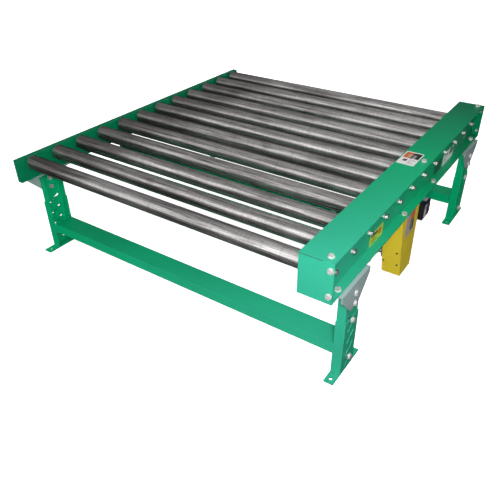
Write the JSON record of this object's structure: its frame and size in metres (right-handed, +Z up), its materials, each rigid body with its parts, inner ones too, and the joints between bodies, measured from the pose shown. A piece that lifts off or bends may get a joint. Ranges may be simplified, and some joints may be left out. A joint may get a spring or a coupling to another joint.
{
  "type": "chain driven roller conveyor with gearmotor",
  "caption": "Powered roller bed on adjustable legs, its rollers turned by roller chains from a right-angle worm gearmotor hung under the frame behind a chain guard.",
  "frame": {"origin": "on the floor, under the middle of the bed: half way between the side frames and half way along the bed", "axes": "+X along the rollers, towards the drive side with the chain cover; +Y along the bed, the way it carries; +Z up. The side towards -Y is the front."},
  "size_m": [1.5534, 1.6172, 0.5533],
  "materials": {
    "green_paint": "semi-gloss enamel, lightly worn",
    "zinc": "bright zinc plated",
    "shaft_steel": "ground steel",
    "bearing_steel": "pressed steel",
    "chain_steel": "oiled roller chain",
    "yellow_paint": "semi-gloss enamel",
    "cast_iron": "painted cast iron",
    "grey_paint": "semi-gloss enamel",
    "drive_paint": "semi-gloss machinery enamel",
    "seal_rubber": "nitrile rubber",
    "copper_windings": "varnished copper windings on a steel core",
    "black_steel": "black powder coat",
    "bronze": "machined bronze",
    "black_plastic": "black moulded plastic",
    "roller_steel": "cold-drawn bare steel with lengthwise streaks"
  },
  "bodies": {
    "bed": {"drive_side_channel": "green_paint", "idler_side_channel": "green_paint", "end_plates": "green_paint", "bed_cross_angles": "green_paint", "chain_cover": "green_paint", "chain_pan": "green_paint", "cover_screws": "zinc", "frame_bolts": "zinc", "roller_axles": "shaft_steel", "roller_bearings": "bearing_steel", "roll_chains": "chain_steel", "drive_chain": "chain_steel", "drive_guard_shell": "yellow_paint", "drive_guard_back": "yellow_paint", "shaft_support_bearing": "cast_iron", "drive_base_plate": "grey_paint", "drive_hangers": "grey_paint", "gearbox_housing": "cast_iron", "gearbox_side_cover": "drive_paint", "drive_bearings": "bearing_steel", "shaft_seals": "seal_rubber", "gearbox_bolts": "zinc", "motor_face_bell": "drive_paint", "motor_housing": "drive_paint", "motor_stator": "copper_windings", "motor_rear_bell": "drive_paint", "motor_fan_cover": "drive_paint", "conduit_box": "black_steel", "starter_box": "black_steel", "starter_lid": "black_steel", "starter_bracket": "grey_paint", "pivot_plates": "grey_paint"},
    "roller_01": {"roller_01": "roller_steel"},
    "roller_02": {"roller_02": "roller_steel"},
    "roller_03": {"roller_03": "roller_steel"},
    "roller_04": {"roller_04": "roller_steel"},
    "roller_05": {"roller_05": "roller_steel"},
    "roller_06": {"roller_06": "roller_steel"},
    "roller_07": {"roller_07": "roller_steel"},
    "roller_08": {"roller_08": "roller_steel"},
    "roller_09": {"roller_09": "roller_steel"},
    "roller_10": {"roller_10": "roller_steel"},
    "roller_11": {"roller_11": "roller_steel"},
    "roller_12": {"roller_12": "roller_steel"},
    "output": {"output_shaft": "shaft_steel", "worm_wheel": "bronze", "output_sprocket": "chain_steel"},
    "motor_rotor": {"motor_rotor": "shaft_steel", "worm_shaft": "shaft_steel", "motor_fan": "black_plastic"},
    "front_stand_upper": {"front_upper_legs": "green_paint", "front_tilt_bolts": "zinc"},
    "front_stand_lower": {"front_lower_legs": "green_paint", "front_crossmember": "green_paint", "front_leg_bolts": "zinc"},
    "rear_stand_upper": {"rear_upper_legs": "green_paint", "rear_tilt_bolts": "zinc"},
    "rear_stand_lower": {"rear_lower_legs": "green_paint", "rear_crossmember": "green_paint", "rear_leg_bolts": "zinc"}
  },
  "joints": [
    {"name": "motor_spin", "type": "hinge", "parent": "bed", "child": "motor_rotor", "pos_m": [0.54, 0.146, 0.18], "axis": [0, 1, 0], "continuous": true},
    {"name": "output_spin", "type": "hinge", "parent": "bed", "child": "output", "pos_m": [0.54, -0.04797, 0.13], "axis": [1, 0, 0], "continuous": true},
    {"name": "roller_01_spin", "type": "hinge", "parent": "bed", "child": "roller_01", "pos_m": [0, -0.73342, 0.46625], "axis": [1, 0, 0], "continuous": true},
    {"name": "roller_02_spin", "type": "hinge", "parent": "bed", "child": "roller_02", "pos_m": [0, -0.60008, 0.46625], "axis": [1, 0, 0], "continuous": true},
    {"name": "roller_03_spin", "type": "hinge", "parent": "bed", "child": "roller_03", "pos_m": [0, -0.46673, 0.46625], "axis": [1, 0, 0], "continuous": true},
    {"name": "roller_04_spin", "type": "hinge", "parent": "bed", "child": "roller_04", "pos_m": [0, -0.33337, 0.46625], "axis": [1, 0, 0], "continuous": true},
    {"name": "roller_05_spin", "type": "hinge", "parent": "bed", "child": "roller_05", "pos_m": [0, -0.20003, 0.46625], "axis": [1, 0, 0], "continuous": true},
    {"name": "roller_06_spin", "type": "hinge", "parent": "bed", "child": "roller_06", "pos_m": [0, -0.06667, 0.46625], "axis": [1, 0, 0], "continuous": true},
    {"name": "roller_07_spin", "type": "hinge", "parent": "bed", "child": "roller_07", "pos_m": [0, 0.06667, 0.46625], "axis": [1, 0, 0], "continuous": true},
    {"name": "roller_08_spin", "type": "hinge", "parent": "bed", "child": "roller_08", "pos_m": [0, 0.20003, 0.46625], "axis": [1, 0, 0], "continuous": true},
    {"name": "roller_09_spin", "type": "hinge", "parent": "bed", "child": "roller_09", "pos_m": [0, 0.33337, 0.46625], "axis": [1, 0, 0], "continuous": true},
    {"name": "roller_10_spin", "type": "hinge", "parent": "bed", "child": "roller_10", "pos_m": [0, 0.46673, 0.46625], "axis": [1, 0, 0], "continuous": true},
    {"name": "roller_11_spin", "type": "hinge", "parent": "bed", "child": "roller_11", "pos_m": [0, 0.60008, 0.46625], "axis": [1, 0, 0], "continuous": true},
    {"name": "roller_12_spin", "type": "hinge", "parent": "bed", "child": "roller_12", "pos_m": [0, 0.73342, 0.46625], "axis": [1, 0, 0], "continuous": true},
    {"name": "front_tilt", "type": "hinge", "parent": "bed", "child": "front_stand_upper", "pos_m": [0, -0.645, 0.34505], "axis": [1, 0, 0], "range_deg": [-16, 16]},
    {"name": "front_height", "type": "slide", "parent": "front_stand_upper", "child": "front_stand_lower", "axis": [0, 0, -1], "range_m": [0, 0.11]},
    {"name": "rear_tilt", "type": "hinge", "parent": "bed", "child": "rear_stand_upper", "pos_m": [0, 0.645, 0.34505], "axis": [1, 0, 0], "range_deg": [-16, 16]},
    {"name": "rear_height", "type": "slide", "parent": "rear_stand_upper", "child": "rear_stand_lower", "axis": [0, 0, -1], "range_m": [0, 0.11]}
  ],
  "couplings": [
    {"joint": "output_spin", "follows": "motor_spin", "ratio": 0.05},
    {"joint": "roller_01_spin", "follows": "motor_spin", "ratio": 0.0375},
    {"joint": "roller_02_spin", "follows": "motor_spin", "ratio": 0.0375},
    {"joint": "roller_03_spin", "follows": "motor_spin", "ratio": 0.0375},
    {"joint": "roller_04_spin", "follows": "motor_spin", "ratio": 0.0375},
    {"joint": "roller_05_spin", "follows": "motor_spin", "ratio": 0.0375},
    {"joint": "roller_06_spin", "follows": "motor_spin", "ratio": 0.0375},
    {"joint": "roller_07_spin", "follows": "motor_spin", "ratio": 0.0375},
    {"joint": "roller_08_spin", "follows": "motor_spin", "ratio": 0.0375},
    {"joint": "roller_09_spin", "follows": "motor_spin", "ratio": 0.0375},
    {"joint": "roller_10_spin", "follows": "motor_spin", "ratio": 0.0375},
    {"joint": "roller_11_spin", "follows": "motor_spin", "ratio": 0.0375},
    {"joint": "roller_12_spin", "follows": "motor_spin", "ratio": 0.0375}
  ]
}
